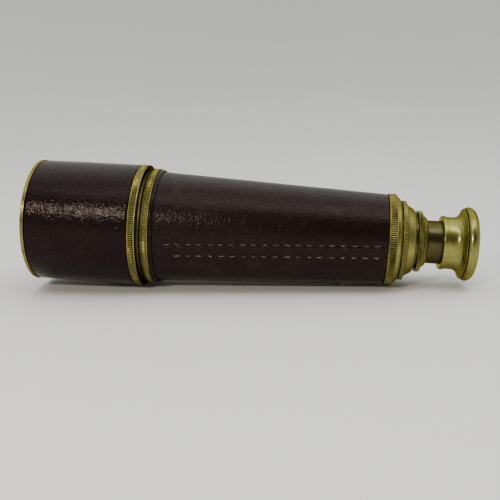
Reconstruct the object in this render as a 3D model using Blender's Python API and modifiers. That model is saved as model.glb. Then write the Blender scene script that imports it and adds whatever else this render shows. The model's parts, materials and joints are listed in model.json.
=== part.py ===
"""Three-draw brass telescope, closed, with a leather-covered sunshade and barrel.

Every piece is turned about the optical axis, which lies along world +X at the height of the
sunshade's radius. A station is a distance in millimetres along that axis, from the front rim
(0) to the end of the eye cap (CLOSED_LENGTH). An outline is a half section: a list of
(station, radius) points.

The moving groups are the sunshade and three nested draws. Their front stop rings catch on the
sprung guide sleeves of the tube outside them, and that sets how far each one pulls out.
"""

import math

import bpy

MM = 0.001

# ---- driving dimensions, in millimetres ----
CLOSED_LENGTH = 254.0
SHADE_RADIUS = 35.6
GAP = 0.3  # clearance between neighbouring pieces
WALL = 0.8  # brass tube wall
LEATHER = 1.0  # leather thickness

RIM_REAR = 2.2
SHADE_RING = (60.6, 65.0)
SHADE_GUIDE_FRONT = 55.0
SHADE_LEATHER_RADIUS = 35.5
SHADE_TUBE_WALL = 0.7
MOUTH_RADIUS = 32.7

FRONT_RING = (66.5, 71.8)
FRONT_RING_RADIUS = 33.7
FRONT_TUBE_RADIUS = 32.5
JACKET_RADII = (32.1, 26.1)  # at the jacket's front and rear ends
JACKET_REAR = 203.7
BAND_REAR = 74.1
BARREL_COLLAR = (204.0, 211.5)
BARREL_COLLAR_RADIUS = 26.5

FRONT_RING_SPIGOT_REAR = 78.0
COLLAR_SPIGOT_FRONTS = (198.0, 206.0, 214.5)  # on the barrel, the first and the second draw
BAFFLE = (100.0, 101.2)

OBJECTIVE_RADIUS = 29.8
CELL = (7.0, 22.0)
CELL_FLANGE_REAR = 10.5

DRAW_1_RADIUS = 20.6
DRAW_2_RADIUS = 15.9
DRAW_3_RADIUS = 12.4
DRAW_1_COLLAR = (212.1, 219.6)
DRAW_1_COLLAR_RADIUS = 22.8
DRAW_2_COLLAR = (221.3, 227.0)
DRAW_2_COLLAR_RADIUS = 17.6
DRAW_1_STOP = (25.7, 31.0)
DRAW_2_STOP = (31.7, 37.0)
DRAW_3_STOP = (37.7, 43.0)
DRAW_TRAVEL = 156.0  # from a stop ring's rear face to the guide sleeve that catches it

BELL = (235.3, 247.7)
BELL_WAIST_RADIUS = 15.0
BELL_BEAD_RADIUS = 20.1
BELL_FLARE = (243.0, 247.0)
BELL_SEAT = 239.3
EYE_CAP_RADIUS = 21.2
ERECTOR_LENS_RADIUS = 10.2
EYEPIECE_LENS_RADIUS = 9.9

SEGMENTS = 32  # round the large pieces
SMALL_SEGMENTS = 24  # round the optics inside the third draw

# ---- sizes that follow ----
JACKET_FRONT = FRONT_RING[1] + GAP
SHADE_TUBE_RADIUS = SHADE_LEATHER_RADIUS - LEATHER - GAP
SHADE_BORE = SHADE_TUBE_RADIUS - SHADE_TUBE_WALL
SHADE_SPIGOT_RADIUS = SHADE_BORE - GAP
SHADE_RING_BORE = FRONT_TUBE_RADIUS + GAP
DRAW_1_SLEEVE_FRONT = DRAW_1_STOP[1] + DRAW_TRAVEL
DRAW_2_SLEEVE_FRONT = DRAW_2_STOP[1] + DRAW_TRAVEL
DRAW_3_SLEEVE_FRONT = DRAW_3_STOP[1] + DRAW_TRAVEL


def clear_scene():
    for obj in list(bpy.data.objects):
        bpy.data.objects.remove(obj, do_unlink=True)


def make_material(name, color, metallic, roughness, transmission=0.0):
    material = bpy.data.materials.new(name)
    material.use_nodes = True
    shader = material.node_tree.nodes["Principled BSDF"]
    shader.inputs["Base Color"].default_value = (*color, 1.0)
    shader.inputs["Metallic"].default_value = metallic
    shader.inputs["Roughness"].default_value = roughness
    shader.inputs["Transmission Weight"].default_value = transmission
    material.diffuse_color = (*color, 1.0)
    return material


def make_empty(name, parent=None):
    empty = bpy.data.objects.new(name, None)
    empty.empty_display_size = 0.05
    parts.objects.link(empty)
    empty.parent = parent
    return empty


def turned(name, outline, material, body, segments=SEGMENTS):
    """A turned piece. The outline is closed, unless both of its ends are on the axis."""
    points = [(radius, station) for station, radius in outline]
    area = sum(
        r0 * s1 - r1 * s0
        for (r0, s0), (r1, s1) in zip(points, points[1:] + points[:1])
    )
    if area > 0:  # a Screw profile runs down its outer side
        points.reverse()
    vertices = [(radius * MM, 0.0, station * MM) for radius, station in points]
    edges = [(i, i + 1) for i in range(len(vertices) - 1)]
    if points[0][0] > 0 or points[-1][0] > 0:
        edges.append((len(vertices) - 1, 0))
    profile = bpy.data.meshes.new(name)
    profile.from_pydata(vertices, edges, [])
    piece = bpy.data.objects.new(name, profile)
    parts.objects.link(piece)
    piece.parent = body
    screw = piece.modifiers.new("Turn", "SCREW")
    screw.axis = "Z"
    screw.angle = math.tau
    screw.steps = segments
    screw.render_steps = segments
    screw.use_merge_vertices = True
    screw.merge_threshold = 0.00005
    graph = bpy.context.evaluated_depsgraph_get()
    mesh = bpy.data.meshes.new_from_object(piece.evaluated_get(graph))
    piece.modifiers.clear()
    piece.data = mesh
    bpy.data.meshes.remove(profile)
    mesh.name = name
    mesh.shade_smooth()
    mesh.set_sharp_from_angle(angle=math.radians(30))
    mesh.materials.clear()
    mesh.materials.append(material)
    return piece


def ring(name, stations, radii, material, body, segments=SEGMENTS):
    """A plain tube or washer between two stations and two radii."""
    front, rear = stations
    inner, outer = radii
    outline = [(front, outer), (rear, outer), (rear, inner), (front, inner)]
    return turned(name, outline, material, body, segments)


def dome(edge, bulge, radius, steps):
    """A lens surface from the axis out to its edge. A positive bulge is towards the eye."""
    fractions = [i / steps for i in range(steps + 1)]
    return [(edge + bulge * (1 - t * t), radius * t) for t in fractions]


def lens(name, front, rear, radius, material, body, segments=SMALL_SEGMENTS):
    """A lens between two surfaces, each given as (edge station, bulge); no bulge is flat."""
    surfaces = []
    for edge, bulge in (front, rear):
        steps = 3 if bulge else 1
        surfaces.append(dome(edge, bulge, radius, steps))
    outline = surfaces[0] + surfaces[1][::-1]
    return turned(name, outline, material, body, segments)


def jacket_radius(station):
    """The barrel leather's outer radius, which tapers towards the eye."""
    front, rear = JACKET_RADII
    return front + (rear - front) * (station - JACKET_FRONT) / (JACKET_REAR - JACKET_FRONT)


def tapered_tube(name, outer_depth, thickness, material, body):
    """A tapered tube whose outside lies outer_depth under the jacket's surface."""
    ends = (JACKET_FRONT, JACKET_REAR)
    outer = [(s, jacket_radius(s) - outer_depth) for s in ends]
    inner = [(s, r - thickness) for s, r in reversed(outer)]
    return turned(name, outer + inner, material, body)


def stop_ring(name, stations, radius, tube_radius, lip_radius, material, body):
    """A ring round a draw's front end, with a lip that covers the tube's end."""
    front, rear = stations
    seat = front + 2.0
    outline = [
        (front, radius),
        (rear, radius),
        (rear, tube_radius + GAP),
        (seat, tube_radius + GAP),
        (seat, lip_radius),
        (front, lip_radius),
    ]
    return turned(name, outline, material, body)


def build_sunshade(body):
    turned(
        "sunshade_front_rim",
        [
            (0.0, MOUTH_RADIUS + 0.3),
            (0.0, SHADE_RADIUS - 0.6),
            (0.2, SHADE_RADIUS - 0.2),
            (0.6, SHADE_RADIUS),
            (RIM_REAR, SHADE_RADIUS),
            (RIM_REAR, SHADE_SPIGOT_RADIUS),
            (6.0, SHADE_SPIGOT_RADIUS),
            (6.0, MOUTH_RADIUS),
            (0.3, MOUTH_RADIUS),
        ],
        brass,
        body,
    )
    covered = (RIM_REAR + GAP, SHADE_RING[0] - GAP)
    ring("sunshade_tube", covered, (SHADE_BORE, SHADE_TUBE_RADIUS), dark_brass, body)
    leather_radii = (SHADE_LEATHER_RADIUS - LEATHER, SHADE_LEATHER_RADIUS)
    ring("sunshade_leather", covered, leather_radii, leather, body)
    front, rear = SHADE_RING
    turned(
        "sunshade_rear_ring",
        [
            (SHADE_GUIDE_FRONT, SHADE_SPIGOT_RADIUS),
            (front, SHADE_SPIGOT_RADIUS),
            (front, SHADE_RADIUS - 0.3),
            (front + 0.3, SHADE_RADIUS),
            (rear - 0.3, SHADE_RADIUS),
            (rear, SHADE_RADIUS - 0.3),
            (rear, SHADE_RING_BORE),
            (SHADE_GUIDE_FRONT, SHADE_RING_BORE),
        ],
        brass,
        body,
    )


def build_objective(body):
    front, rear = CELL
    flange_radius = SHADE_BORE - GAP
    skirt_radius = FRONT_TUBE_RADIUS - WALL - GAP
    cell_bore = OBJECTIVE_RADIUS + GAP
    lip = OBJECTIVE_RADIUS - 1.8
    turned(
        "objective_cell",
        [
            (front, flange_radius - 0.4),
            (front + 0.4, flange_radius),
            (CELL_FLANGE_REAR, flange_radius),
            (CELL_FLANGE_REAR, skirt_radius),
            (rear, skirt_radius),
            (rear, cell_bore),
            (front + 2.2, cell_bore),
            (front + 2.2, lip),
            (front, lip + 0.8),
        ],
        dark_brass,
        body,
    )
    radius = OBJECTIVE_RADIUS
    lens("objective_crown_lens", (9.8, -2.2), (11.9, 2.2), radius, glass, body, SEGMENTS)
    lens("objective_flint_lens", (12.2, 2.2), (17.0, 0.0), radius, glass, body, SEGMENTS)
    ring("objective_retaining_ring", (17.3, 20.3), (radius - 1.7, radius), dark_brass, body)


def build_barrel(body):
    front, rear = FRONT_RING
    tube_bore = FRONT_TUBE_RADIUS - WALL
    tube_ends = (CELL_FLANGE_REAR + GAP, rear - 1.8)
    ring("barrel_front_tube", tube_ends, (tube_bore, FRONT_TUBE_RADIUS), dark_brass, body)
    spigot = jacket_radius(JACKET_FRONT) - LEATHER - WALL - 3 * GAP
    turned(
        "barrel_front_ring",
        [
            (front, FRONT_RING_RADIUS - 0.6),
            (front + 1.6, FRONT_RING_RADIUS),
            (rear, FRONT_RING_RADIUS),
            (rear, spigot),
            (FRONT_RING_SPIGOT_REAR, spigot),
            (FRONT_RING_SPIGOT_REAR, spigot - WALL),
            (rear - 1.5, spigot - WALL),
            (rear - 1.5, FRONT_TUBE_RADIUS + GAP),
            (front, FRONT_TUBE_RADIUS + GAP),
        ],
        brass,
        body,
    )
    tapered_tube("barrel_tube", LEATHER + GAP, WALL, dark_brass, body)
    tapered_tube("barrel_leather", 0.0, LEATHER, leather, body)
    band_bore = jacket_radius(JACKET_FRONT) + GAP
    turned(
        "barrel_leather_band",
        [
            (JACKET_FRONT, band_bore + 0.95),
            (BAND_REAR - 0.3, band_bore + 0.9),
            (BAND_REAR, band_bore + 0.6),
            (BAND_REAR, band_bore),
            (JACKET_FRONT, band_bore),
        ],
        leather,
        body,
    )
    baffle_radius = jacket_radius(BAFFLE[1]) - LEATHER - WALL - 2 * GAP
    ring("barrel_baffle", BAFFLE, (23.6, baffle_radius), dark_brass, body)

    front, rear = BARREL_COLLAR
    spigot = jacket_radius(JACKET_REAR) - LEATHER - WALL - 2 * GAP
    seat = DRAW_1_RADIUS + 1.6
    turned(
        "barrel_collar",
        [
            (COLLAR_SPIGOT_FRONTS[0], spigot),
            (front, spigot),
            (front, BARREL_COLLAR_RADIUS - 0.3),
            (front + 0.3, BARREL_COLLAR_RADIUS),
            (rear - 3.0, BARREL_COLLAR_RADIUS),
            (rear - 2.7, BARREL_COLLAR_RADIUS - 0.3),
            (rear - 2.7, 24.9),
            (rear - 1.2, 24.3),
            (rear, 23.0),
            (rear, DRAW_1_RADIUS + 0.4),
            (rear - 1.8, DRAW_1_RADIUS + 0.4),
            (rear - 1.8, seat),
            (COLLAR_SPIGOT_FRONTS[0], seat),
        ],
        brass,
        body,
    )
    sleeve_radii = (DRAW_1_RADIUS + GAP, seat - GAP)
    ring("barrel_guide_sleeve", (DRAW_1_SLEEVE_FRONT, 209.4), sleeve_radii, dark_brass, body)


def build_draw_1(body):
    bore = DRAW_1_RADIUS - WALL
    tube_ends = (DRAW_1_STOP[0] + 2.0 + GAP, DRAW_1_COLLAR[0] - GAP)
    ring("draw_1_tube", tube_ends, (bore, DRAW_1_RADIUS), aged_brass, body)
    stop_ring("draw_1_stop_ring", DRAW_1_STOP, 23.0, DRAW_1_RADIUS, bore + 0.2, brass, body)
    front, rear = DRAW_1_COLLAR
    seat = DRAW_2_RADIUS + 1.6
    turned(
        "draw_1_collar",
        [
            (COLLAR_SPIGOT_FRONTS[1], bore - GAP),
            (front, bore - GAP),
            (front, DRAW_1_COLLAR_RADIUS - 0.3),
            (front + 0.3, DRAW_1_COLLAR_RADIUS),
            (front + 2.3, DRAW_1_COLLAR_RADIUS),
            (front + 2.6, DRAW_1_COLLAR_RADIUS - 0.3),
            (front + 2.9, 20.9),
            (front + 4.5, 19.9),
            (front + 6.1, 19.0),
            (rear - 0.3, 18.4),
            (rear, 18.0),
            (rear, DRAW_2_RADIUS + 0.4),
            (rear - 2.0, DRAW_2_RADIUS + 0.4),
            (rear - 2.0, seat),
            (COLLAR_SPIGOT_FRONTS[1], seat),
        ],
        brass,
        body,
    )
    sleeve_radii = (DRAW_2_RADIUS + GAP, seat - GAP)
    ring("draw_1_guide_sleeve", (DRAW_2_SLEEVE_FRONT, 217.3), sleeve_radii, dark_brass, body)


def build_draw_2(body):
    bore = DRAW_2_RADIUS - WALL
    tube_ends = (DRAW_2_STOP[0] + 2.0 + GAP, DRAW_2_COLLAR[0] - GAP)
    ring("draw_2_tube", tube_ends, (bore, DRAW_2_RADIUS), aged_brass, body)
    stop_ring("draw_2_stop_ring", DRAW_2_STOP, 18.2, DRAW_2_RADIUS, bore + 0.2, brass, body)
    front, rear = DRAW_2_COLLAR
    seat = DRAW_3_RADIUS + 1.5
    turned(
        "draw_2_collar",
        [
            (COLLAR_SPIGOT_FRONTS[2], bore - GAP),
            (front, bore - GAP),
            (front, DRAW_2_COLLAR_RADIUS - 0.3),
            (front + 0.3, DRAW_2_COLLAR_RADIUS),
            (front + 2.5, DRAW_2_COLLAR_RADIUS),
            (front + 2.8, DRAW_2_COLLAR_RADIUS - 0.3),
            (front + 3.1, 15.6),
            (front + 4.2, 14.8),
            (rear - 0.4, 13.9),
            (rear, 13.4),
            (rear, DRAW_3_RADIUS + 0.4),
            (rear - 1.8, DRAW_3_RADIUS + 0.4),
            (rear - 1.8, seat),
            (COLLAR_SPIGOT_FRONTS[2], seat),
        ],
        brass,
        body,
    )
    sleeve_radii = (DRAW_3_RADIUS + GAP, seat - GAP)
    ring("draw_2_guide_sleeve", (DRAW_3_SLEEVE_FRONT, 224.9), sleeve_radii, dark_brass, body)


def build_erector(body):
    """The tube that turns the image upright, screwed into the front of the third draw."""
    radius = ERECTOR_LENS_RADIUS
    tube_radii = (radius + GAP, DRAW_3_RADIUS - WALL - GAP)
    ring_radii = (radius - 1.1, radius)
    front = DRAW_3_STOP[0] + 2.0 + 3 * GAP
    ring("erector_tube", (front, front + 62.0), tube_radii, dark_brass, body, SMALL_SEGMENTS)
    clip = front + 0.5
    ring("erector_front_ring", (clip, clip + 2.0), ring_radii, dark_brass, body, SMALL_SEGMENTS)
    edge = clip + 2.0 + GAP
    lens("erector_front_lens", (edge, 0.0), (edge + 2.0, 1.4), radius, glass, body)
    ring("erector_diaphragm", (72.0, 73.0), (2.2, radius), dark_brass, body, SMALL_SEGMENTS)
    lens("erector_rear_lens", (97.0, -1.4), (99.0, 0.0), radius, glass, body)
    ring("erector_rear_ring", (99.3, 101.3), ring_radii, dark_brass, body, SMALL_SEGMENTS)


def build_eyepiece(body):
    radius = EYEPIECE_LENS_RADIUS
    tube_radii = (radius + GAP, radius + GAP + WALL)
    segments = SMALL_SEGMENTS
    ring("eyepiece_tube", (200.0, 243.2), tube_radii, dark_brass, body, segments)
    ring("field_lens_ring", (201.9, 203.9), (radius - 1.1, radius), dark_brass, body, segments)
    lens("field_lens", (204.6, -1.8), (206.6, 0.0), radius, glass, body)
    ring("field_stop", (222.0, 223.0), (6.0, radius), dark_brass, body, segments)
    lens("eye_lens", (237.4, -1.5), (239.4, 0.0), radius, glass, body)
    ring("eye_lens_ring", (239.7, 242.0), (radius - 1.7, radius), dark_brass, body, segments)

    front, rear = BELL
    flare_front, flare_rear = BELL_FLARE
    flare = [(1.0 - math.cos(math.radians(a)), math.sin(math.radians(a))) for a in (20, 45, 70)]
    turned(
        "eyepiece_bell",
        [
            (front, BELL_WAIST_RADIUS),
            (front + 0.3, BELL_WAIST_RADIUS + 0.4),
            (front + 2.2, BELL_WAIST_RADIUS + 0.4),
            (front + 3.4, BELL_WAIST_RADIUS),
            (flare_front, BELL_WAIST_RADIUS),
        ]
        + [(flare_front + 4.0 * along, BELL_WAIST_RADIUS + 4.4 * out) for out, along in flare]
        + [
            (flare_rear, BELL_BEAD_RADIUS - 0.4),
            (flare_rear + 0.3, BELL_BEAD_RADIUS),
            (rear, BELL_BEAD_RADIUS - 0.2),
            (rear, 14.3),
            (flare_front + 0.5, 14.3),
            (flare_front + 0.5, radius + 1.4),
            (BELL_SEAT, radius + 1.4),
            (BELL_SEAT, DRAW_3_RADIUS + GAP),
            (front, DRAW_3_RADIUS + GAP),
        ],
        brass,
        body,
    )
    rim = EYE_CAP_RADIUS
    end = CLOSED_LENGTH
    turned(
        "eye_cap",
        [
            (243.9, 14.0),
            (248.0, 14.0),
            (248.0, rim - 1.0),
            (248.4, rim - 0.5),
            (250.3, rim),
            (252.0, rim - 0.5),
            (253.4, rim - 1.8),
            (end, rim - 3.4),
            (end, rim - 5.6),
            (253.2, rim - 6.6),
            (250.2, 9.0),
            (249.4, 6.4),
            (249.2, 4.0),
            (248.4, 3.6),
            (247.0, 6.5),
            (247.0, 11.0),
            (243.9, 11.0),
        ],
        brass,
        body,
    )


def build_draw_3(body):
    bore = DRAW_3_RADIUS - WALL
    tube_ends = (DRAW_3_STOP[0] + 2.0 + GAP, BELL_SEAT - GAP)
    ring("draw_3_tube", tube_ends, (bore, DRAW_3_RADIUS), aged_brass, body)
    lip = ERECTOR_LENS_RADIUS - 0.5
    stop_ring("draw_3_stop_ring", DRAW_3_STOP, 14.3, DRAW_3_RADIUS, lip, brass, body)
    build_erector(body)
    build_eyepiece(body)


clear_scene()
parts = bpy.data.collections.new("brass_telescope")
bpy.context.scene.collection.children.link(parts)

brass = make_material("brass", (0.38, 0.30, 0.09), 1.0, 0.32)
dark_brass = make_material("dark_brass", (0.10, 0.085, 0.05), 1.0, 0.5)
aged_brass = make_material("aged_brass", (0.16, 0.11, 0.055), 1.0, 0.35)
leather = make_material("leather", (0.022, 0.012, 0.013), 0.0, 0.5)
glass = make_material("glass", (0.9, 0.95, 0.93), 0.0, 0.02, transmission=1.0)

optical_axis = make_empty("optical_axis")
optical_axis.location = (-CLOSED_LENGTH / 2 * MM, 0.0, SHADE_RADIUS * MM)
optical_axis.rotation_euler = (0.0, math.radians(90), 0.0)

barrel = make_empty("barrel", optical_axis)
sunshade = make_empty("sunshade", barrel)
draw_1 = make_empty("draw_1", barrel)
draw_2 = make_empty("draw_2", draw_1)
draw_3 = make_empty("draw_3", draw_2)

build_sunshade(sunshade)
build_barrel(barrel)
build_objective(barrel)
build_draw_1(draw_1)
build_draw_2(draw_2)
build_draw_3(draw_3)
bpy.context.view_layer.update()
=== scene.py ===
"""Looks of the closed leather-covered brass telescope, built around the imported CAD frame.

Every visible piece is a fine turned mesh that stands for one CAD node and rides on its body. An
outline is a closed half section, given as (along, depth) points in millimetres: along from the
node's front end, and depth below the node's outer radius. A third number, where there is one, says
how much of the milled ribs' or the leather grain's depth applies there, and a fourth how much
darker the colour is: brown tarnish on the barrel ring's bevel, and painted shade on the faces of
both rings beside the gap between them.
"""

import json
import math

import bpy
import numpy as np
from mathutils import Matrix, Vector, noise


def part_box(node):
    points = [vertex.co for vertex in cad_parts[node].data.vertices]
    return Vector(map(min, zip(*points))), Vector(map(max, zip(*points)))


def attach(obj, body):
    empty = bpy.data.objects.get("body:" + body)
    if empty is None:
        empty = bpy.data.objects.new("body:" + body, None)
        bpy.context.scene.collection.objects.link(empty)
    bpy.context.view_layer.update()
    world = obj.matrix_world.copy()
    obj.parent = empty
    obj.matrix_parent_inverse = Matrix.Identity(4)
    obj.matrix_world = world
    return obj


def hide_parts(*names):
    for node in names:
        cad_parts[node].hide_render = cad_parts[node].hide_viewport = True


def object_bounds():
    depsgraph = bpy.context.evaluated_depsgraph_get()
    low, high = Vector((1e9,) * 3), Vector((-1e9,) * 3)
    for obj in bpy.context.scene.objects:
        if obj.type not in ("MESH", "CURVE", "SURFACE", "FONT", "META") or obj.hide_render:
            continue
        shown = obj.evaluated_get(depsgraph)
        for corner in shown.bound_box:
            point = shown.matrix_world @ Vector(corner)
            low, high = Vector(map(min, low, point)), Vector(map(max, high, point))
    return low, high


MM = 0.001
SEED = 7
SMOOTH = 224  # segments round a plain turned piece
EYEPIECE_SMOOTH = 256
LENS_SMOOTH = 128
SHADE_SMOOTH = 480  # round the sunshade's cover and the band beside it
JACKET_SMOOTH = 448  # round the barrel's cover
RIB_STEPS = 8  # segments to one milled rib
WALL = 0.8  # of the drawn tubes, in millimetres
SHADE_WALL = 0.7
LEATHER = 1.0  # thickness of the covers
ROLLED_EDGE = 0.7  # how far a cover's rolled edge runs along the axis
SHADE_LENGTH = 57.8
JACKET_LENGTH = 131.6
JACKET_DROP = 6.0  # how much nearer to the axis the barrel's cover is at its rear end
OBJECTIVE_RADIUS = 29.8
EYE_LENS_RADIUS = 9.9
ELEVATION = 12.0  # the camera's, in degrees
CAMERA_ANGLES = (4.643, -1.508, 3.406)  # its yaw, pitch and roll, in degrees
CAMERA_PLACE = (160.2, -417.99)  # millimetres along and across from the front rim's centre
CAMERA_LENS = 51.29

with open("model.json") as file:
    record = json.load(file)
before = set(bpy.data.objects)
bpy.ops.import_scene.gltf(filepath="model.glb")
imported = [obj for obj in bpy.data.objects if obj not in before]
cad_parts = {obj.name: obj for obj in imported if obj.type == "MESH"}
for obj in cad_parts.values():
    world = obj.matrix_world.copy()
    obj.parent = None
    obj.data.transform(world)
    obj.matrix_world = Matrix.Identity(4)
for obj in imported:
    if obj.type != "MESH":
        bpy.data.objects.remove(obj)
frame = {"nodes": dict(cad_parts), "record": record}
cad_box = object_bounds()


def node_size(node):
    """Front station, rear station and outer radius of a CAD node, in metres."""
    low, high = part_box(node)
    return low.x, high.x, (high.y - low.y) / 2


FRONT = node_size("sunshade_front_rim")[0]
AXIS_Z = sum(corner.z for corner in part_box("sunshade_front_rim")) / 2


# ---- materials ----
class Surface:
    """A node material, with short calls for the nodes that it is made of."""

    def __init__(self, name, slot, **constants):
        self.slot = slot
        self.material = bpy.data.materials.new(name)
        self.material.use_nodes = True
        self.tree = self.material.node_tree
        self.shader = self.tree.nodes["Principled BSDF"]
        for socket, value in constants.items():
            self.shader.inputs[socket.replace("_", " ")].default_value = value
        self.place = self.node("ShaderNodeTexCoord").outputs["Object"]

    def node(self, kind, inputs=None, **settings):
        made = self.tree.nodes.new(kind)
        for key, value in settings.items():
            setattr(made, key, value)
        for key, value in (inputs or {}).items():
            if isinstance(value, bpy.types.NodeSocket):
                self.tree.links.new(value, made.inputs[key])
            else:
                made.inputs[key].default_value = value
        return made

    def math(self, operation, first, second=0.0, third=0.0):
        values = {0: first, 1: second, 2: third}
        return self.node("ShaderNodeMath", values, operation=operation).outputs[0]

    def stretched(self, along, across):
        """Object coordinates in millimetres, scaled along the axis and across it."""
        scale = (along / MM, across / MM, across / MM)
        moved = self.node("ShaderNodeMapping", {"Vector": self.place, "Scale": scale})
        return moved.outputs[0]

    def noise(self, scale, detail=3.0, roughness=0.55, vector=None):
        """Noise whose scale is the number of features in a millimetre."""
        if vector is None:
            vector, scale = self.place, scale / MM
        values = {"Vector": vector, "Scale": scale, "Detail": detail, "Roughness": roughness}
        return self.node("ShaderNodeTexNoise", values).outputs["Fac"]

    def cells(self, scale):
        """Rounded cells whose scale is the number of cells in a millimetre."""
        values = {"Vector": self.place, "Scale": scale / MM, "Randomness": 1.0}
        made = self.node("ShaderNodeTexVoronoi", values, feature="SMOOTH_F1")
        return made.outputs["Distance"]

    def ramp(self, value, low, high, to_low=0.0, to_high=1.0):
        values = {0: value, 1: low, 2: high, 3: to_low, 4: to_high}
        return self.node("ShaderNodeMapRange", values, clamp=True).outputs[0]

    def mix(self, factor, first, second):
        def colour(value):
            return value if isinstance(value, bpy.types.NodeSocket) else (*value, 1.0)

        made = self.node("ShaderNodeMix", data_type="RGBA")
        for index, value in ((0, factor), (6, colour(first)), (7, colour(second))):
            if isinstance(value, bpy.types.NodeSocket):
                self.tree.links.new(value, made.inputs[index])
            else:
                made.inputs[index].default_value = value
        return made.outputs[2]

    def attribute(self, name):
        made = self.node("ShaderNodeAttribute", attribute_name=name)
        return made.outputs["Fac"]

    def radius(self):
        """Distance from the axis, in millimetres."""
        parts = self.node("ShaderNodeSeparateXYZ", {0: self.place}).outputs
        height = self.math("SUBTRACT", parts[2], AXIS_Z)
        squares = self.math("MULTIPLY", parts[1], parts[1])
        squares = self.math("MULTIPLY_ADD", height, height, squares)
        return self.math("DIVIDE", self.math("SQRT", squares), MM)

    def turning(self, lines):
        """Fine lathe marks that run round the piece, on its sides and on its flat faces."""
        parts = self.node("ShaderNodeSeparateXYZ", {0: self.place}).outputs
        along = self.math("MULTIPLY", parts[0], lines / MM)
        out = self.math("MULTIPLY", self.radius(), lines)
        slow = self.math("MULTIPLY", parts[1], 0.04 / MM)
        vector = self.node("ShaderNodeCombineXYZ", {0: along, 1: out, 2: slow}).outputs[0]
        return self.noise(1.0, 2.0, 0.5, vector)

    def bump(self, height, distance, below=None):
        """Bumps whose distance is in millimetres, laid over the bumps below."""
        values = {"Height": height, "Distance": distance * MM, "Strength": 1.0}
        if below is not None:
            values["Normal"] = below
        return self.node("ShaderNodeBump", values).outputs[0]

    def set(self, socket, value):
        """Links an input of the shader to a node's output."""
        self.tree.links.new(value, self.shader.inputs[socket])


def brass_surface(name, slot, bright, dull, darkening, roughness):
    """Old brass: polished where handled, dull film in patches, grime in grooves, painted shade at
    gaps.
    """
    made = Surface(name, slot, Metallic=1.0)
    made.shader.inputs["Specular Tint"].default_value = (0.55, 0.52, 0.34, 1.0)
    film = made.noise(0.11, 4.0, 0.6)
    specks = made.noise(0.9, 3.0, 0.6)
    patches = made.ramp(made.math("MULTIPLY_ADD", specks, 0.35, film), 0.5, 0.95)
    colour = made.mix(patches, bright, dull)
    spots = made.ramp(made.noise(0.45, 5.0, 0.7), 0.62, 0.72)
    colour = made.mix(made.math("MULTIPLY", spots, 0.5), colour, darkening)
    # the groove value: grime in the rib valleys, and painted shade on the ring faces beside the
    # gap
    groove = made.attribute("groove")
    depth = made.math("SUBTRACT", groove, 0.25)
    grime = made.math("MULTIPLY_ADD", made.noise(0.6, 3.0), 0.5, depth)
    colour = made.mix(made.ramp(grime, 0.1, 0.75), colour, darkening)
    made.set("Base Color", colour)
    rough = made.math("MULTIPLY_ADD", patches, 0.14, roughness)
    rough = made.math("MULTIPLY_ADD", groove, 0.2, rough)
    rough = made.math("MULTIPLY_ADD", made.noise(1.7, 3.0), 0.08, rough)
    made.set("Roughness", rough)
    lathe = made.bump(made.turning(5.0), 0.004)
    dents = made.bump(made.noise(0.17, 2.0), 0.11, lathe)
    made.set("Normal", dents)
    return made


def leather_surface(name, base, worn, roughness, gloss):
    """Dark oxblood leather with pores, creases, glossy and dull spots, and paler rubbed places."""
    made = Surface(name, "leather")
    made.shader.inputs["Specular Tint"].default_value = (1.0, 0.82, 0.79, 1.0)
    patches = made.ramp(made.noise(0.05, 4.0, 0.6), 0.35, 0.7)
    dark = tuple(part * 0.6 for part in base)
    colour = made.mix(patches, dark, base)
    pores = made.cells(0.9)
    colour = made.mix(made.ramp(pores, 0.3, 0.8), colour, dark)
    rubs = made.math("MULTIPLY", made.noise(0.07, 3.0), made.noise(1.6, 4.0, 0.75))
    rubs = made.ramp(rubs, 0.33, 0.42)
    colour = made.mix(made.math("MULTIPLY", rubs, 0.3), colour, worn)
    made.set("Base Color", colour)
    polish = made.ramp(made.noise(1.25, 2.0, 0.6), 0.40, 0.64, 0.7 * gloss, 1.5 * gloss)
    made.set("Specular IOR Level", polish)
    rough = made.ramp(made.noise(0.9, 4.0, 0.65), 0.3, 0.75, roughness - 0.06, roughness + 0.1)
    made.set("Roughness", rough)
    grain = made.bump(pores, 0.07)
    wrapped = made.noise(1.0, 3.0, 0.6, made.stretched(0.8, 0.2))
    creases = made.bump(wrapped, 0.08, grain)
    fine = made.bump(made.noise(1.1, 1.0, 0.5), 0.17, creases)
    made.set("Normal", fine)
    return made


def thread_surface():
    """Pale waxed thread, soiled in patches and wherever its groove value says so."""
    made = Surface("waxed_thread", "leather", Roughness=0.72)
    fibres = made.noise(1.0, 3.0, 0.7, made.stretched(2.2, 7.0))
    grime = made.ramp(made.noise(0.22, 3.0), 0.4, 0.62)
    colour = made.mix(made.ramp(fibres, 0.35, 0.7), (0.11, 0.095, 0.08), (0.36, 0.34, 0.30))
    soiled = made.math("MAXIMUM", made.attribute("groove"), made.math("MULTIPLY", grime, 0.7))
    made.set("Base Color", made.mix(soiled, colour, (0.022, 0.016, 0.015)))
    made.set("Normal", made.bump(fibres, 0.06))
    return made


def glass_surface(name, tint):
    """Old lens glass with a faint haze in patches."""
    made = Surface(name, "glass", IOR=1.52, Transmission_Weight=1.0)
    made.shader.inputs["Base Color"].default_value = (*tint, 1.0)
    made.set("Roughness", made.ramp(made.noise(0.12, 4.0, 0.65), 0.45, 0.8, 0.0, 0.06))
    made.set("Normal", made.bump(made.noise(0.05, 2.0), 0.004))
    return made


def blackened_surface(name, slot):
    """The dull black paint that stops stray light inside the tubes."""
    made = Surface(name, slot)
    specks = made.ramp(made.noise(1.3, 4.0, 0.7), 0.35, 0.75)
    colour = made.mix(specks, (0.008, 0.008, 0.008), (0.022, 0.020, 0.017))
    chips = made.ramp(made.noise(0.35, 5.0, 0.75), 0.68, 0.73)
    made.set("Base Color", made.mix(chips, colour, (0.10, 0.075, 0.03)))
    made.set("Roughness", made.ramp(specks, 0.0, 1.0, 0.62, 0.8))
    made.set("Normal", made.bump(made.turning(2.5), 0.012))
    return made


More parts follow.
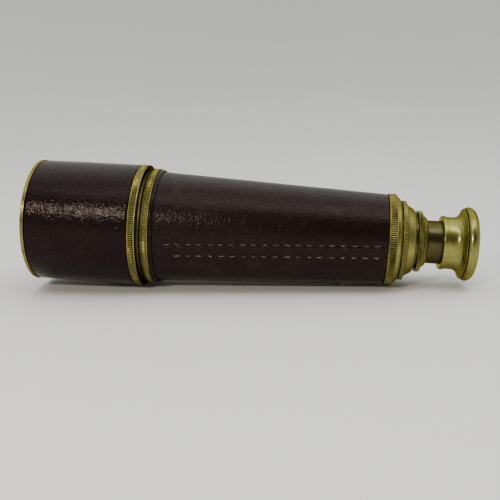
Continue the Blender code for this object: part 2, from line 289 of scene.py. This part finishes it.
polished = brass_surface(
    "polished_brass",
    "brass",
    bright=(0.34, 0.325, 0.095),
    dull=(0.155, 0.135, 0.027),
    darkening=(0.05, 0.036, 0.008),
    roughness=0.18,
)
milled = brass_surface(
    "milled_brass",
    "brass",
    bright=(0.32, 0.29, 0.085),
    dull=(0.15, 0.128, 0.032),
    darkening=(0.014, 0.010, 0.003),
    roughness=0.24,
)
sleeve = brass_surface(
    "draw_tube_brass",
    "aged_brass",
    bright=(0.10, 0.085, 0.033),
    dull=(0.06, 0.048, 0.02),
    darkening=(0.018, 0.013, 0.006),
    roughness=0.20,
)
inner = brass_surface(
    "inner_brass",
    "dark_brass",
    bright=(0.13, 0.105, 0.042),
    dull=(0.07, 0.055, 0.024),
    darkening=(0.02, 0.015, 0.008),
    roughness=0.34,
)
shade_leather = leather_surface(
    "polished_leather",
    base=(0.0100, 0.0042, 0.0038),
    worn=(0.06, 0.038, 0.025),
    roughness=0.14,
    gloss=0.13,
)
barrel_leather = leather_surface(
    "handled_leather",
    base=(0.0135, 0.0055, 0.0050),
    worn=(0.08, 0.05, 0.035),
    roughness=0.24,
    gloss=0.15,
)
thread = thread_surface()
glass = glass_surface("lens_glass", (0.96, 0.99, 0.97))
blackened = blackened_surface("blackened_brass", "dark_brass")


# ---- turned meshes ----
def section(node, outline):
    """Outline points in metres: station, radius, relief amount, and darkening by tarnish and
    painted shade.
    """
    front, _, outer = node_size(node)
    points = []
    for along, depth, *rest in outline:
        amount, darkening = (rest + [0.0, 0.0])[:2]
        points.append((front + along * MM, max(outer - depth * MM, 0.0), amount, darkening))
    return np.array(points)


def add_piece(name, points, faces, surface, body, groove, nodes=(), sharp=35.0):
    """Links a mesh with its groove values, material and body, and hides the nodes it stands for.
    """
    points = np.asarray(points, float)
    mesh = bpy.data.meshes.new(name)
    mesh.from_pydata(points.tolist(), [], [tuple(face) for face in faces])
    mesh.update()
    mesh.shade_smooth()
    mesh.set_sharp_from_angle(angle=math.radians(sharp))
    layer = mesh.attributes.new("groove", "FLOAT", "POINT")
    layer.data.foreach_set("value", np.asarray(groove, np.float32))
    mesh.materials.append(surface.material)
    piece = bpy.data.objects.new(name, mesh)
    bpy.context.scene.collection.objects.link(piece)
    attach(piece, body)
    if nodes:
        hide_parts(*nodes)


def turned(name, node, outline, surface, body, around=SMOOTH, relief=None, sharp=35.0):
    """A closed turned piece that stands for a CAD node.

    relief(stations, radii, angles) is how far the surface goes in, in metres, where a point's
    relief amount is 1.
    """
    points = section(node, outline)
    stations, radii, amounts, darkening = points.T
    area = np.sum(radii * np.roll(stations, -1) - np.roll(radii, -1) * stations)
    if area > 0:
        stations, radii, amounts, darkening = (row[::-1] for row in (stations, radii, amounts, darkening))
    angles = np.arange(around) * math.tau / around
    depth = np.zeros((len(stations), around))
    if relief is not None:
        depth = relief(stations, radii, angles) * amounts[:, None]
    grid = np.clip(radii[:, None] - depth, 0.0, None)
    vertices = np.stack(
        [
            np.repeat(stations[:, None], around, 1),
            grid * np.cos(angles),
            AXIS_Z + grid * np.sin(angles),
        ],
        -1,
    )
    rows, columns = len(stations), around
    poles = [index for index in (0, rows - 1) if radii[index] < 1e-6]
    faces = []
    last = rows - 1 if poles else rows
    turn = np.arange(columns)
    following = np.roll(turn, -1)
    for row in range(last):
        after = (row + 1) % rows
        if row in poles or after in poles:
            pole, rim = (row, after) if row in poles else (after, row)
            centre = np.full(columns, pole * columns)
            ring = rim * columns
            pair = (turn, following) if pole == row else (following, turn)
            faces.append(np.stack([centre, ring + pair[0], ring + pair[1]], -1))
            continue
        a, b = row * columns, after * columns
        faces.append(np.stack([a + turn, b + turn, b + following, a + following], -1))
    faces = [tuple(int(i) for i in face) for block in faces for face in block]
    flat = vertices.reshape(-1, 3)
    used = np.unique(np.concatenate([np.array(face) for face in faces]))
    lookup = np.zeros(len(flat), int)
    lookup[used] = np.arange(len(used))
    faces = [tuple(int(lookup[i]) for i in face) for face in faces]
    largest = max(float(depth.max()), 1e-9)
    # darker where the ribs go in, and by each point's darkening: tarnish, and painted shade at the
    # ring gap
    groove = np.clip(depth / largest + darkening[:, None], 0.0, 1.0).reshape(-1)[used]
    add_piece(name, flat[used], faces, surface, body, groove, [node], sharp)


def ribs(count, height, worn):
    """Relief of milled ribs along the axis, height millimetres deep, worn down in patches."""
    rng = np.random.default_rng(SEED + count)
    phases = rng.uniform(0, math.tau, 5)

    def relief(stations, radii, angles):
        waves = sum(np.sin(k * angles + phase) / k for k, phase in zip((2, 3, 5, 9, 16), phases))
        level = 1.0 - worn * np.clip(0.45 + 0.6 * waves, 0.0, 1.0)
        shape = (0.5 - 0.5 * np.cos(count * angles)) ** 0.8
        return np.repeat((height * MM * level * shape)[None, :], len(stations), 0)

    return relief


def milled_ring(name, node, outline, body, count, height, worn):
    """A brass ring with count milled ribs wherever its outline asks for relief."""
    relief = ribs(count, height, worn)
    turned(name, node, outline, milled, body, count * RIB_STEPS, relief, sharp=50.0)


# ---- leather ----
def grain(stations, radii, angles):
    """Relief of a leather cover: pebbled grain, slow unevenness and a fine one."""
    depth = np.zeros((len(stations), len(angles)))
    directions = [(math.cos(angle), math.sin(angle)) for angle in angles]
    for row, (station, radius) in enumerate(zip(stations, radii)):
        for column, (across, up) in enumerate(directions):
            spot = Vector((station / MM, radius / MM * across, radius / MM * up))
            (first, second, _, _), _ = noise.voronoi(spot)
            pebble = max(0.0, 1.0 - 2.2 * (second - first))
            slow = 0.5 + 0.5 * noise.noise(spot * 0.09)
            fine = 0.5 + 0.5 * noise.noise(spot * 0.5)
            depth[row, column] = 0.030 * pebble + 0.05 * slow + 0.02 * fine
    return depth * MM


# ---- sunshade ----
turned(
    "sunshade_rim",
    "sunshade_front_rim",
    [
        (0.25, 2.9),
        (0.0, 2.6),
        (0.0, 0.95),
        (0.12, 0.5),
        (0.4, 0.2),
        (0.7, 0.12),
        (1.0, 0.2),
        (1.15, 0.45),
        (1.3, 0.2),
        (1.6, 0.12),
        (1.9, 0.2),
        (2.1, 0.5),
        (2.2, 0.8),
        (2.2, 2.4),
        (6.0, 2.4),
        (6.0, 2.9),
    ],
    polished,
    "sunshade",
)
turned(
    "sunshade_sleeve",
    "sunshade_tube",
    [(0.0, 0.0), (SHADE_LENGTH, 0.0), (SHADE_LENGTH, SHADE_WALL), (0.0, SHADE_WALL)],
    blackened,
    "sunshade",
)


def cover_outline(length, front_drop, step=0.45):
    """Outline of a leather cover with rolled edges; its front is front_drop thinner."""
    points = [
        (0.0, 0.45 + front_drop, 0.2),
        (0.12, 0.2 + front_drop, 0.4),
        (0.35, 0.06 + front_drop, 0.7),
    ]
    even = length - 2 * ROLLED_EDGE
    count = int(even / step)
    for index in range(count + 1):
        along = ROLLED_EDGE + even * index / count
        drop = front_drop * max(0.0, 1.0 - along / (0.45 * length))
        points.append((along, drop, 1.0))
    points += [(length - 0.35, 0.06, 0.7), (length - 0.12, 0.2, 0.4), (length, 0.45, 0.2)]
    points += [(length, LEATHER), (0.0, LEATHER)]
    return points


front, rear, _ = node_size("sunshade_leather")
turned(
    "sunshade_cover",
    "sunshade_leather",
    cover_outline((rear - front) / MM, front_drop=0.25),
    shade_leather,
    "sunshade",
    SHADE_SMOOTH,
    grain,
    sharp=60.0,
)
milled_ring(
    "sunshade_ring",
    "sunshade_rear_ring",
    [
        (0.0, 2.4),
        (5.6, 2.4),
        (5.6, 0.45),
        (5.7, 0.2),
        (5.9, 0.1),
        (6.15, 0.12),
        (6.3, 0.3),
        (6.4, 0.02, 1.0),
        (7.6, 0.0, 1.0),
        (9.1, 0.02, 1.0),
        # the rear bead and rear face darken towards the gap beside the barrel ring: painted shade
        (9.2, 0.3, 0.0, 0.3),
        (9.3, 0.08),
        (9.55, 0.02),
        (9.8, 0.1),
        (9.95, 0.3, 0.0, 0.4),
        (10.0, 0.6, 0.0, 1.0),
        (10.0, 2.8, 0.0, 1.0),
        (0.0, 2.8),
    ],
    "sunshade",
    count=212,
    height=0.44,
    worn=0.3,
)

# ---- objective ----
turned(
    "objective_mount",
    "objective_cell",
    [
        (0.0, 4.5),
        (0.0, 0.4),
        (0.15, 0.12),
        (0.4, 0.0),
        (3.3, 0.0),
        (3.5, 0.2),
        (3.5, 1.8),
        (15.0, 1.8),
        (15.0, 2.8),
        (2.2, 2.8),
        (2.2, 4.9),
        (2.0, 5.2),
        (1.0, 5.1),
    ],
    blackened,
    "barrel",
)


def lens_outline(front_face, rear_face, radius, steps=24):
    """Outline of a lens from two (edge, bulge) faces, in millimetres from the node's front."""
    faces = []
    for edge, bulge in (front_face, rear_face):
        fractions = [i / steps for i in range(steps + 1)] if bulge else [0.0, 1.0]
        faces.append([(edge + bulge * (1 - t * t), radius - radius * t) for t in fractions])
    return faces[0] + faces[1][::-1]


turned(
    "objective_crown",
    "objective_crown_lens",
    lens_outline((2.2, -2.2), (4.3, 2.2), OBJECTIVE_RADIUS),
    glass,
    "barrel",
)
turned(
    "objective_flint",
    "objective_flint_lens",
    lens_outline((0.0, 2.2), (4.8, 0.0), OBJECTIVE_RADIUS),
    glass,
    "barrel",
)

# ---- barrel ----
front, rear, _ = node_size("barrel_front_tube")
length = (rear - front) / MM
turned(
    "barrel_guide_tube",
    "barrel_front_tube",
    [(0.0, 0.1), (0.2, 0.0), (length, 0.0), (length, WALL), (0.0, WALL)],
    inner,
    "barrel",
)
milled_ring(
    "barrel_ring",
    "barrel_front_ring",
    [
        # tarnish along the bevel; painted shade at its front edge and inner corner, dimming the
        # glint
        (0.0, 0.8, 0.0, 1.0),
        (0.2, 0.66, 0.0, 1.0),
        (1.0, 0.3, 0.0, 0.6),
        (1.7, 0.1, 0.0, 0.5),
        (2.1, 0.04, 0.0, 0.5),
        (2.25, 0.2, 0.0, 0.7),
        (2.35, 0.02, 1.0),
        (3.5, 0.0, 1.0),
        (4.6, 0.02, 1.0),
        (4.7, 0.25, 0.0, 0.3),
        (4.8, 0.06),
        (5.0, 0.0),
        (5.2, 0.1),
        (5.3, 0.5, 0.0, 0.5),
        (5.3, 4.3),
        (11.5, 4.3),
        (11.5, 5.1),
        (3.8, 5.1),
        (3.8, 0.9),
        (0.0, 0.9, 0.0, 1.0),
    ],
    "barrel",
    count=200,
    height=0.44,
    worn=0.35,
)
SEAM_STITCHES = 20
SEAM_FRONT = 78.9  # where the seam starts, in millimetres from the front rim
SEAM_PITCH = 6.08
SEAM_LINE = (80.0, 118.0)  # where a row's first angle holds, and how far on its second one does
SEAM_ROWS = ((-18.95, -9.35), (-31.65, -24.2))  # each row's two angles above the eye line
SEAM_DEPTH = 0.30  # how far a stitch row draws the leather in
SEAM_WIDTH = 0.75
THREAD_RADIUS = 0.30
THREAD_SIDES = 10
THREAD_RINGS = 15


def seam_angle(row, station_mm):
    """Angle of a stitch row round the axis at a station in millimetres from the front rim."""
    start, end = SEAM_ROWS[row]
    line_from, line_length = SEAM_LINE
    above = start + (end - start) * (station_mm - line_from) / line_length
    return math.radians(180.0 - ELEVATION - above)


def seamed(stations, radii, angles):
    """The barrel cover's grain, drawn in along two stitch rows and puckered between them."""
    depth = grain(stations, radii, angles)
    for row, (station, radius) in enumerate(zip(stations, radii)):
        along = (station - FRONT) / MM
        stitch = (along - SEAM_FRONT) / SEAM_PITCH
        pull = 0.6 + 0.4 * math.cos(math.tau * stitch)
        upper, lower = (seam_angle(k, along) for k in (0, 1))
        for angle, strength in ((upper, 0.8), (lower, 1.0)):
            across = (angles - angle) * radius / MM
            pinch = np.exp(-((across / SEAM_WIDTH) ** 2))
            depth[row] += strength * SEAM_DEPTH * MM * pull * pinch
        between = (angles - upper) / (lower - upper)
        swell = np.sin(np.clip(between, 0, 1) * math.pi)
        swell = np.where((between > 0) & (between < 1), swell, 0.0)
        depth[row] -= swell * (0.10 + 0.05 * math.cos(math.tau * stitch)) * MM
    return depth


def jacket_outline(length, drop, step=0.42):
    """Outline of the tapered leather cover; its rear end is drop nearer to the axis."""
    points = [(0.0, 0.45, 0.2), (0.12, 0.22, 0.5), (0.35, 0.06, 0.8)]
    even = length - 2 * ROLLED_EDGE
    count = int(even / step)
    for index in range(count + 1):
        along = ROLLED_EDGE + even * index / count
        points.append((along, drop * along / length, 1.0))
    points += [(length - 0.35, drop + 0.04, 0.8), (length - 0.12, drop + 0.2, 0.5)]
    points.append((length, drop + 0.45, 0.2))
    points += [(length, drop + LEATHER), (0.0, LEATHER)]
    return points


front, rear, _ = node_size("barrel_leather")
turned(
    "barrel_cover",
    "barrel_leather",
    jacket_outline((rear - front) / MM, JACKET_DROP),
    barrel_leather,
    "barrel",
    JACKET_SMOOTH,
    seamed,
    sharp=60.0,
)
turned(
    "barrel_cover_band",
    "barrel_leather_band",
    [(0.0, 0.2, 0.3), (0.12, 0.06, 0.7), (0.4, 0.0, 1.0), (0.8, 0.02, 1.0), (1.2, 0.1, 1.0)]
    + [(1.55, 0.28, 0.8), (1.85, 0.55, 0.5), (2.0, 0.85, 0.2), (2.0, 0.95), (0.0, 0.95)],
    barrel_leather,
    "barrel",
    SHADE_SMOOTH,
    grain,
    sharp=60.0,
)


def stitch_rows():
    """Two rows of stitches: short twisted threads that dive into the leather at both ends."""
    rng = np.random.default_rng(SEED)
    front, _, outer = node_size("barrel_leather")
    first = (front - FRONT) / MM
    points, faces, soil = [], [], []
    sides, rings = THREAD_SIDES, THREAD_RINGS
    # row, shift along and across, half length, dirt; the middle kind doubles the upper row
    kinds = ((0, 0.0, 0.0, 1.95, 0.55), (0, 1.1, -1.7, 0.95, 0.66), (1, 0.0, 0.0, 1.7, 0.0))
    for row, shift, across, length, darkening in kinds:
        for index in range(row, SEAM_STITCHES):  # the lower row starts one stitch further on
            middle = SEAM_FRONT + SEAM_PITCH * (index + 0.5) + shift + rng.uniform(-0.35, 0.35)
            half = length * rng.uniform(0.72, 1.1)
            skew = rng.uniform(-0.5, 0.3)
            soil += [darkening + rng.uniform(-0.08, 0.3)] * (sides * rings)
            base = len(points)
            for k in range(rings):
                t = 2.0 * k / (rings - 1) - 1.0
                along = middle + half * t
                surface = outer / MM - JACKET_DROP * (along - first) / JACKET_LENGTH
                centre = surface - 0.28 - 0.42 * t**4  # the ends dive in
                angle = seam_angle(row, along) - (across + skew * t) / surface
                for side in range(sides):
                    round_it = math.tau * side / sides
                    ply = THREAD_RADIUS + 0.045 * math.cos(2 * round_it - 9.0 * t)  # the twist
                    out = centre + ply * math.sin(round_it)
                    turn = angle + ply * math.cos(round_it) / surface
                    points.append(
                        (
                            FRONT + along * MM,
                            out * MM * math.cos(turn),
                            AXIS_Z + out * MM * math.sin(turn),
                        )
                    )
            for k in range(rings - 1):
                for side in range(sides):
                    a, b = base + k * sides, base + (k + 1) * sides
                    after = (side + 1) % sides
                    faces.append((a + side, a + after, b + after, b + side))
            faces.append(tuple(base + side for side in reversed(range(sides))))
            faces.append(tuple(base + (rings - 1) * sides + side for side in range(sides)))
    add_piece("seam_stitches", points, faces, thread, "barrel", np.clip(soil, 0, 1))


stitch_rows()
milled_ring(
    "barrel_end_collar",
    "barrel_collar",
    [
        (0.0, 2.5),
        (6.0, 2.5),
        (6.0, 0.35),
        (6.08, 0.12),
        (6.25, 0.05),
        (6.45, 0.08),
        (6.5, 0.02, 1.0),
        (8.2, 0.0, 1.0),
        (10.1, 0.02, 1.0),
        (10.15, 0.2),
        (10.35, 0.06),
        (10.6, 0.1),
        (10.8, 0.5),
        (10.85, 1.5),
        (11.2, 1.72),
        (11.9, 1.8),
        (12.4, 2.1),
        (12.7, 2.6),
        (13.3, 3.1),
        (13.5, 3.5),
        (13.5, 5.5),
        (11.7, 5.5),
        (11.7, 4.3),
        (0.0, 4.3),
    ],
    "barrel",
    count=138,
    height=0.42,
    worn=0.35,
)

# ---- draws ----
for number, body in ((1, "draw_1"), (2, "draw_2"), (3, "draw_3")):
    node = f"draw_{number}_tube"
    front, rear, _ = node_size(node)
    length = (rear - front) / MM
    turned(
        f"draw_{number}_sleeve",
        node,
        [(0.0, 0.15), (0.15, 0.0), (length - 0.15, 0.0), (length, 0.15)]
        + [(length, WALL), (0.0, WALL)],
        sleeve,
        body,
    )
milled_ring(
    "draw_1_end_collar",
    "draw_1_collar",
    [
        (0.0, 3.3),
        (6.1, 3.3),
        (6.1, 0.35),
        (6.15, 0.1),
        (6.3, 0.04),
        (6.4, 0.02, 1.0),
        (7.3, 0.0, 1.0),
        (8.3, 0.02, 1.0),
        (8.4, 0.06),
        (8.55, 0.2),
        (8.7, 1.2),
        (8.9, 1.85),
        (9.3, 2.15),
        (10.6, 2.8),
        (12.0, 3.6),
        (13.0, 4.15),
        (13.4, 4.5),
        (13.6, 4.85),
        (13.6, 6.5),
        (11.6, 6.5),
        (11.6, 5.3),
        (0.0, 5.3),
    ],
    "draw_1",
    count=124,
    height=0.38,
    worn=0.75,
)
milled_ring(
    "draw_2_end_collar",
    "draw_2_collar",
    [
        (0.0, 2.8),
        (6.8, 2.8),
        (6.8, 0.4),
        (6.9, 0.12),
        (7.1, 0.04),
        (7.2, 0.02, 1.0),
        (8.2, 0.0, 1.0),
        (9.2, 0.02, 1.0),
        (9.3, 0.06),
        (9.5, 0.2),
        (9.65, 1.2),
        (9.9, 1.9),
        (10.3, 2.25),
        (11.2, 2.9),
        (12.0, 3.6),
        (12.35, 4.0),
        (12.5, 4.3),
        (12.5, 4.8),
        (10.7, 4.8),
        (10.7, 3.7),
        (0.0, 3.7),
    ],
    "draw_2",
    count=98,
    height=0.55,
    worn=0.15,
)


# ---- eyepiece ----
turned(
    "eyepiece_cup",
    "eyepiece_bell",
    [
        (0.0, 7.4),
        (0.0, 5.05),
        (0.12, 4.82),
        (0.4, 4.7),
        (1.9, 4.7),
        (2.25, 4.76),
        (2.6, 4.95),
        (3.2, 5.08),
        (4.2, 5.14),
        (5.4, 5.15),
        (6.6, 5.12),
        (7.5, 5.0),
        (8.4, 4.72),
        (9.2, 4.28),
        (9.9, 3.7),
        (10.5, 3.0),
        (11.0, 2.2),
        (11.4, 1.4),
        (11.65, 0.75),
        (11.7, 0.5),
        (11.78, 0.3),
        (11.9, 0.08),
        (12.05, 0.0),
        (12.22, 0.08),
        (12.36, 0.3),
        (12.4, 0.6),
        (12.4, 5.8),
        (8.2, 5.8),
        (8.2, 8.8),
        (4.0, 8.8),
        (4.0, 7.4),
    ],
    polished,
    "draw_3",
    EYEPIECE_SMOOTH,
    sharp=40.0,
)
turned(
    "eyepiece_cap",
    "eye_cap",
    [
        (0.0, 7.2),
        (4.1, 7.2),
        (4.1, 1.35),
        (4.18, 1.05),
        (4.4, 0.72),
        (4.8, 0.42),
        (5.3, 0.16),
        (5.9, 0.02),
        (6.4, 0.0),
        (7.0, 0.08),
        (7.7, 0.32),
        (8.4, 0.72),
        (9.0, 1.2),
        (9.5, 1.8),
        (9.85, 2.5),
        (10.05, 3.2),
        (10.1, 3.8),
        (10.1, 5.3),
        (10.02, 5.7),
        (9.8, 6.2),
        (9.3, 7.0),
        (8.5, 8.3),
        (7.6, 9.8),
        (6.8, 11.2),
        (6.1, 12.6),
        (5.7, 13.8),
        (5.5, 14.8),
        (5.35, 16.0),
        (5.25, 17.0),
        (5.0, 17.45),
        (4.5, 17.6),
        (3.1, 14.7),
        (3.1, 10.2),
        (0.0, 10.2),
    ],
    polished,
    "draw_3",
    EYEPIECE_SMOOTH,
    sharp=40.0,
)
turned(
    "eyepiece_eye_lens",
    "eye_lens",
    lens_outline((1.5, -1.5), (3.5, 0.0), EYE_LENS_RADIUS),
    glass,
    "draw_3",
    LENS_SMOOTH,
)

# ---- CAD nodes that stay ----
STAYING = {"dark_brass": blackened, "brass": inner, "glass": glass}
slots = {part["node"]: part["material_slot"] for part in frame["record"]["subparts"]}
for node, piece in frame["nodes"].items():
    if piece.hide_render:
        continue
    piece.data.materials.clear()
    piece.data.materials.append(STAYING[slots[node]].material)


# ---- stage, lights and camera ----
FLOOR_HALF = 6.0  # metres from the middle to an edge
FLOOR_TICKS = 160
FLOOR_GAP = 0.00005  # between the floor and the rings that stand on it
FLOOR_BEND = 0.02  # how softly the slope turns level
BANK_START = 3.0
BANK_WIDTH = 2.8
BANK_HEIGHT = 1.2


def stage_floor():
    """A pale floor that carries the telescope on its sunshade ring and its rear collar.

    It slopes from one to the other, runs level beyond the eye end and rises in a bank far away.
    """
    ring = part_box("sunshade_rear_ring")
    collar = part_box("barrel_collar")
    support = ((ring[1].x, ring[0].z), (collar[1].x - 3.0 * MM, collar[0].z))
    slope = (support[1][1] - support[0][1]) / (support[1][0] - support[0][0])
    level_from = cad_box[1].x + 0.01
    count = FLOOR_TICKS
    ticks = np.linspace(-1.0, 1.0, count)
    ticks = FLOOR_HALF * np.sign(ticks) * np.abs(ticks) ** 2.2
    points, faces = [], []
    for y in ticks:
        for x in ticks:
            before = min(40.0, (level_from - x) / FLOOR_BEND)
            along = level_from - FLOOR_BEND * math.log1p(math.exp(before))
            height = support[0][1] + slope * (along - support[0][0])
            far = (math.hypot(x, y) - BANK_START) / BANK_WIDTH
            bank = BANK_HEIGHT * (1 - math.cos(min(max(far, 0.0), 1.0) * math.pi / 2))
            points.append((x, y, height + bank - FLOOR_GAP))
    for row in range(count - 1):
        for column in range(count - 1):
            a = row * count + column
            faces.append((a, a + 1, a + count + 1, a + count))
    mesh = bpy.data.meshes.new("floor")
    mesh.from_pydata(points, [], faces)
    mesh.shade_smooth()
    floor = bpy.data.objects.new("floor", mesh)
    bpy.context.scene.collection.objects.link(floor)
    surface = Surface("floor_paper", None, Roughness=0.85)
    surface.shader.inputs["Specular IOR Level"].default_value = 0.15
    tone = surface.noise(0.004, 2.0)
    surface.set("Base Color", surface.mix(tone, (0.87, 0.87, 0.865), (0.90, 0.90, 0.90)))
    mesh.materials.append(surface.material)


stage_floor()


def area_light(name, position, target, size, power, colour):
    data = bpy.data.lights.new(name, "AREA")
    data.shape = "RECTANGLE"
    data.size, data.size_y = size
    data.energy = power
    data.color = colour
    light = bpy.data.objects.new(name, data)
    bpy.context.scene.collection.objects.link(light)
    light.location = position
    aim = Vector(target) - Vector(position)
    light.rotation_euler = aim.to_track_quat("-Z", "Y").to_euler()


area_light("overhead", (0.1, -0.28, 0.95), (0.0, 0.0, 0.0), (1.3, 0.36), 3.8, (1.0, 1.0, 1.0))
area_light("key", (-0.40, -0.90, 0.57), (0.0, 0.0, AXIS_Z), (0.08, 0.08), 4.6, (1.0, 0.89, 0.74))


def studio_world():
    """Soft light from above and behind, with a dim room on the camera's side."""
    world = bpy.data.worlds.new("studio")
    world.use_nodes = True
    tree = world.node_tree
    place = tree.nodes.new("ShaderNodeTexCoord")
    parts = tree.nodes.new("ShaderNodeSeparateXYZ")
    tree.links.new(place.outputs["Generated"], parts.inputs[0])
    side = tree.nodes.new("ShaderNodeMapRange")
    side.interpolation_type = "SMOOTHSTEP"
    for socket, value in ((1, -0.65), (2, 0.15), (3, 0.0), (4, 1.0)):
        side.inputs[socket].default_value = value
    tree.links.new(parts.outputs[1], side.inputs[0])
    mix = tree.nodes.new("ShaderNodeMix")
    mix.data_type = "RGBA"
    tree.links.new(side.outputs[0], mix.inputs[0])
    mix.inputs[6].default_value = (0.10, 0.10, 0.095, 1.0)  # the camera's side
    mix.inputs[7].default_value = (0.80, 0.81, 0.78, 1.0)  # behind the telescope
    tree.links.new(mix.outputs[2], tree.nodes["Background"].inputs["Color"])
    rise = tree.nodes.new("ShaderNodeMapRange")
    rise.interpolation_type = "SMOOTHSTEP"
    for socket, value in ((1, 0.4), (2, 0.85), (3, 0.92), (4, 1.9)):
        rise.inputs[socket].default_value = value
    tree.links.new(parts.outputs[2], rise.inputs[0])
    tree.links.new(rise.outputs[0], tree.nodes["Background"].inputs["Strength"])
    bpy.context.scene.world = world


studio_world()


def place_camera():
    """The camera, turned about the telescope's axis to its elevation."""
    yaw, pitch, roll = (math.radians(angle) for angle in CAMERA_ANGLES)
    rise = Matrix.Rotation(math.radians(-ELEVATION), 3, "X")
    across = Vector((math.cos(yaw), math.sin(yaw), 0.0))
    level = Vector((-math.sin(yaw), math.cos(yaw), 0.0))
    ahead = math.cos(pitch) * level + math.sin(pitch) * Vector((0, 0, 1))
    upright = -math.sin(pitch) * level + math.cos(pitch) * Vector((0, 0, 1))
    right = rise @ (math.cos(roll) * across + math.sin(roll) * upright)
    up = rise @ (-math.sin(roll) * across + math.cos(roll) * upright)
    back = -(rise @ ahead)
    data = bpy.data.cameras.new("camera")
    data.sensor_width = 36.0
    data.lens = CAMERA_LENS
    data.clip_start = 0.01
    camera = bpy.data.objects.new("camera", data)
    bpy.context.scene.collection.objects.link(camera)
    along, across_mm = CAMERA_PLACE
    centre = rise @ Vector((along * MM, across_mm * MM, 0.0)) + Vector((FRONT, 0.0, AXIS_Z))
    turn = Matrix((right, up, back)).transposed().to_4x4()
    camera.matrix_world = Matrix.Translation(centre) @ turn
    bpy.context.scene.camera = camera


place_camera()
